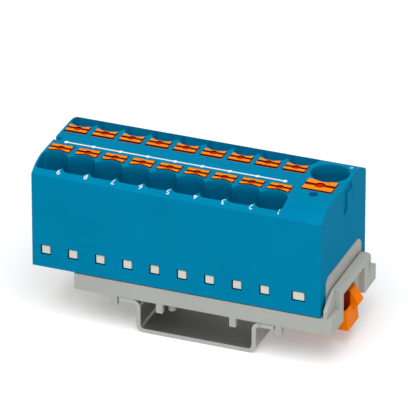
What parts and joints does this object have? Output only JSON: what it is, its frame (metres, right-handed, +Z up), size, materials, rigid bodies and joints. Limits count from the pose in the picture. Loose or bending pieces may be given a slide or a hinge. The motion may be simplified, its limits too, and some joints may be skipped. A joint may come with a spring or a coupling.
{
  "type": "power distribution block",
  "caption": "Rail-mounted push-in power distribution block: a large feed clamp and two rows of small outlet clamps with push buttons, on a latching foot.",
  "frame": {"origin": "middle of the underside of the rail that the block is clipped to", "axes": "+X along the block towards the feed clamp, +Y from the front to the back along the rail, +Z up out of the rail"},
  "size_m": [0.0683, 0.0274, 0.0358],
  "materials": {
    "housing_polyamide": "fine satin moulded surface, mid blue",
    "button_polyamide": "satin moulded surface, orange",
    "latch_polyamide": "satin moulded surface, orange",
    "foot_polyamide": "fine satin moulded surface, light grey",
    "insert_polyamide": "satin moulded surface, off-white",
    "tinned_copper": "bright tin plating",
    "spring_steel": "rolled spring strip",
    "zinc_plated_steel": "zinc plated and passivated sheet"
  },
  "bodies": {
    "rail": {"mounting_rail": "zinc_plated_steel"},
    "block": {"rail_foot": "foot_polyamide", "housing": "housing_polyamide", "base_plate": "insert_polyamide", "busbar": "tinned_copper", "outlet_front_1_spring": "spring_steel", "outlet_front_2_spring": "spring_steel", "outlet_front_3_spring": "spring_steel", "outlet_front_4_spring": "spring_steel", "outlet_front_5_spring": "spring_steel", "outlet_front_6_spring": "spring_steel", "outlet_front_7_spring": "spring_steel", "outlet_front_8_spring": "spring_steel", "outlet_front_9_spring": "spring_steel", "outlet_back_1_spring": "spring_steel", "outlet_back_2_spring": "spring_steel", "outlet_back_3_spring": "spring_steel", "outlet_back_4_spring": "spring_steel", "outlet_back_5_spring": "spring_steel", "outlet_back_6_spring": "spring_steel", "outlet_back_7_spring": "spring_steel", "outlet_back_8_spring": "spring_steel", "outlet_back_9_spring": "spring_steel", "feed_spring": "spring_steel"},
    "latch": {"foot_latch": "latch_polyamide"},
    "outlet_front_1_push": {"outlet_front_1_button": "button_polyamide"},
    "outlet_front_2_push": {"outlet_front_2_button": "button_polyamide"},
    "outlet_front_3_push": {"outlet_front_3_button": "button_polyamide"},
    "outlet_front_4_push": {"outlet_front_4_button": "button_polyamide"},
    "outlet_front_5_push": {"outlet_front_5_button": "button_polyamide"},
    "outlet_front_6_push": {"outlet_front_6_button": "button_polyamide"},
    "outlet_front_7_push": {"outlet_front_7_button": "button_polyamide"},
    "outlet_front_8_push": {"outlet_front_8_button": "button_polyamide"},
    "outlet_front_9_push": {"outlet_front_9_button": "button_polyamide"},
    "outlet_back_1_push": {"outlet_back_1_button": "button_polyamide"},
    "outlet_back_2_push": {"outlet_back_2_button": "button_polyamide"},
    "outlet_back_3_push": {"outlet_back_3_button": "button_polyamide"},
    "outlet_back_4_push": {"outlet_back_4_button": "button_polyamide"},
    "outlet_back_5_push": {"outlet_back_5_button": "button_polyamide"},
    "outlet_back_6_push": {"outlet_back_6_button": "button_polyamide"},
    "outlet_back_7_push": {"outlet_back_7_button": "button_polyamide"},
    "outlet_back_8_push": {"outlet_back_8_button": "button_polyamide"},
    "outlet_back_9_push": {"outlet_back_9_button": "button_polyamide"},
    "feed_push": {"feed_button": "button_polyamide"}
  },
  "joints": [
    {"name": "block_on_rail", "type": "slide", "parent": "rail", "child": "block", "axis": [0, 1, 0], "range_m": [-0.006, 0.006]},
    {"name": "latch_slide", "type": "slide", "parent": "block", "child": "latch", "axis": [1, 0, 0], "range_m": [0, 0.0025], "stiffness_N_per_m": 2000, "springref_m": -0.0005},
    {"name": "outlet_front_1_press", "type": "slide", "parent": "block", "child": "outlet_front_1_push", "axis": [0, 0, -1], "range_m": [0, 0.0015], "stiffness_N_per_m": 3000, "springref_m": -0.0003, "deforming": ["outlet_front_1_spring"]},
    {"name": "outlet_front_2_press", "type": "slide", "parent": "block", "child": "outlet_front_2_push", "axis": [0, 0, -1], "range_m": [0, 0.0015], "stiffness_N_per_m": 3000, "springref_m": -0.0003, "deforming": ["outlet_front_2_spring"]},
    {"name": "outlet_front_3_press", "type": "slide", "parent": "block", "child": "outlet_front_3_push", "axis": [0, 0, -1], "range_m": [0, 0.0015], "stiffness_N_per_m": 3000, "springref_m": -0.0003, "deforming": ["outlet_front_3_spring"]},
    {"name": "outlet_front_4_press", "type": "slide", "parent": "block", "child": "outlet_front_4_push", "axis": [0, 0, -1], "range_m": [0, 0.0015], "stiffness_N_per_m": 3000, "springref_m": -0.0003, "deforming": ["outlet_front_4_spring"]},
    {"name": "outlet_front_5_press", "type": "slide", "parent": "block", "child": "outlet_front_5_push", "axis": [0, 0, -1], "range_m": [0, 0.0015], "stiffness_N_per_m": 3000, "springref_m": -0.0003, "deforming": ["outlet_front_5_spring"]},
    {"name": "outlet_front_6_press", "type": "slide", "parent": "block", "child": "outlet_front_6_push", "axis": [0, 0, -1], "range_m": [0, 0.0015], "stiffness_N_per_m": 3000, "springref_m": -0.0003, "deforming": ["outlet_front_6_spring"]},
    {"name": "outlet_front_7_press", "type": "slide", "parent": "block", "child": "outlet_front_7_push", "axis": [0, 0, -1], "range_m": [0, 0.0015], "stiffness_N_per_m": 3000, "springref_m": -0.0003, "deforming": ["outlet_front_7_spring"]},
    {"name": "outlet_front_8_press", "type": "slide", "parent": "block", "child": "outlet_front_8_push", "axis": [0, 0, -1], "range_m": [0, 0.0015], "stiffness_N_per_m": 3000, "springref_m": -0.0003, "deforming": ["outlet_front_8_spring"]},
    {"name": "outlet_front_9_press", "type": "slide", "parent": "block", "child": "outlet_front_9_push", "axis": [0, 0, -1], "range_m": [0, 0.0015], "stiffness_N_per_m": 3000, "springref_m": -0.0003, "deforming": ["outlet_front_9_spring"]},
    {"name": "outlet_back_1_press", "type": "slide", "parent": "block", "child": "outlet_back_1_push", "axis": [0, 0, -1], "range_m": [0, 0.0015], "stiffness_N_per_m": 3000, "springref_m": -0.0003, "deforming": ["outlet_back_1_spring"]},
    {"name": "outlet_back_2_press", "type": "slide", "parent": "block", "child": "outlet_back_2_push", "axis": [0, 0, -1], "range_m": [0, 0.0015], "stiffness_N_per_m": 3000, "springref_m": -0.0003, "deforming": ["outlet_back_2_spring"]},
    {"name": "outlet_back_3_press", "type": "slide", "parent": "block", "child": "outlet_back_3_push", "axis": [0, 0, -1], "range_m": [0, 0.0015], "stiffness_N_per_m": 3000, "springref_m": -0.0003, "deforming": ["outlet_back_3_spring"]},
    {"name": "outlet_back_4_press", "type": "slide", "parent": "block", "child": "outlet_back_4_push", "axis": [0, 0, -1], "range_m": [0, 0.0015], "stiffness_N_per_m": 3000, "springref_m": -0.0003, "deforming": ["outlet_back_4_spring"]},
    {"name": "outlet_back_5_press", "type": "slide", "parent": "block", "child": "outlet_back_5_push", "axis": [0, 0, -1], "range_m": [0, 0.0015], "stiffness_N_per_m": 3000, "springref_m": -0.0003, "deforming": ["outlet_back_5_spring"]},
    {"name": "outlet_back_6_press", "type": "slide", "parent": "block", "child": "outlet_back_6_push", "axis": [0, 0, -1], "range_m": [0, 0.0015], "stiffness_N_per_m": 3000, "springref_m": -0.0003, "deforming": ["outlet_back_6_spring"]},
    {"name": "outlet_back_7_press", "type": "slide", "parent": "block", "child": "outlet_back_7_push", "axis": [0, 0, -1], "range_m": [0, 0.0015], "stiffness_N_per_m": 3000, "springref_m": -0.0003, "deforming": ["outlet_back_7_spring"]},
    {"name": "outlet_back_8_press", "type": "slide", "parent": "block", "child": "outlet_back_8_push", "axis": [0, 0, -1], "range_m": [0, 0.0015], "stiffness_N_per_m": 3000, "springref_m": -0.0003, "deforming": ["outlet_back_8_spring"]},
    {"name": "outlet_back_9_press", "type": "slide", "parent": "block", "child": "outlet_back_9_push", "axis": [0, 0, -1], "range_m": [0, 0.0015], "stiffness_N_per_m": 3000, "springref_m": -0.0003, "deforming": ["outlet_back_9_spring"]},
    {"name": "feed_press", "type": "slide", "parent": "block", "child": "feed_push", "axis": [0, 0, -1], "range_m": [0, 0.002], "stiffness_N_per_m": 4000, "springref_m": -0.0003, "deforming": ["feed_spring"]}
  ]
}
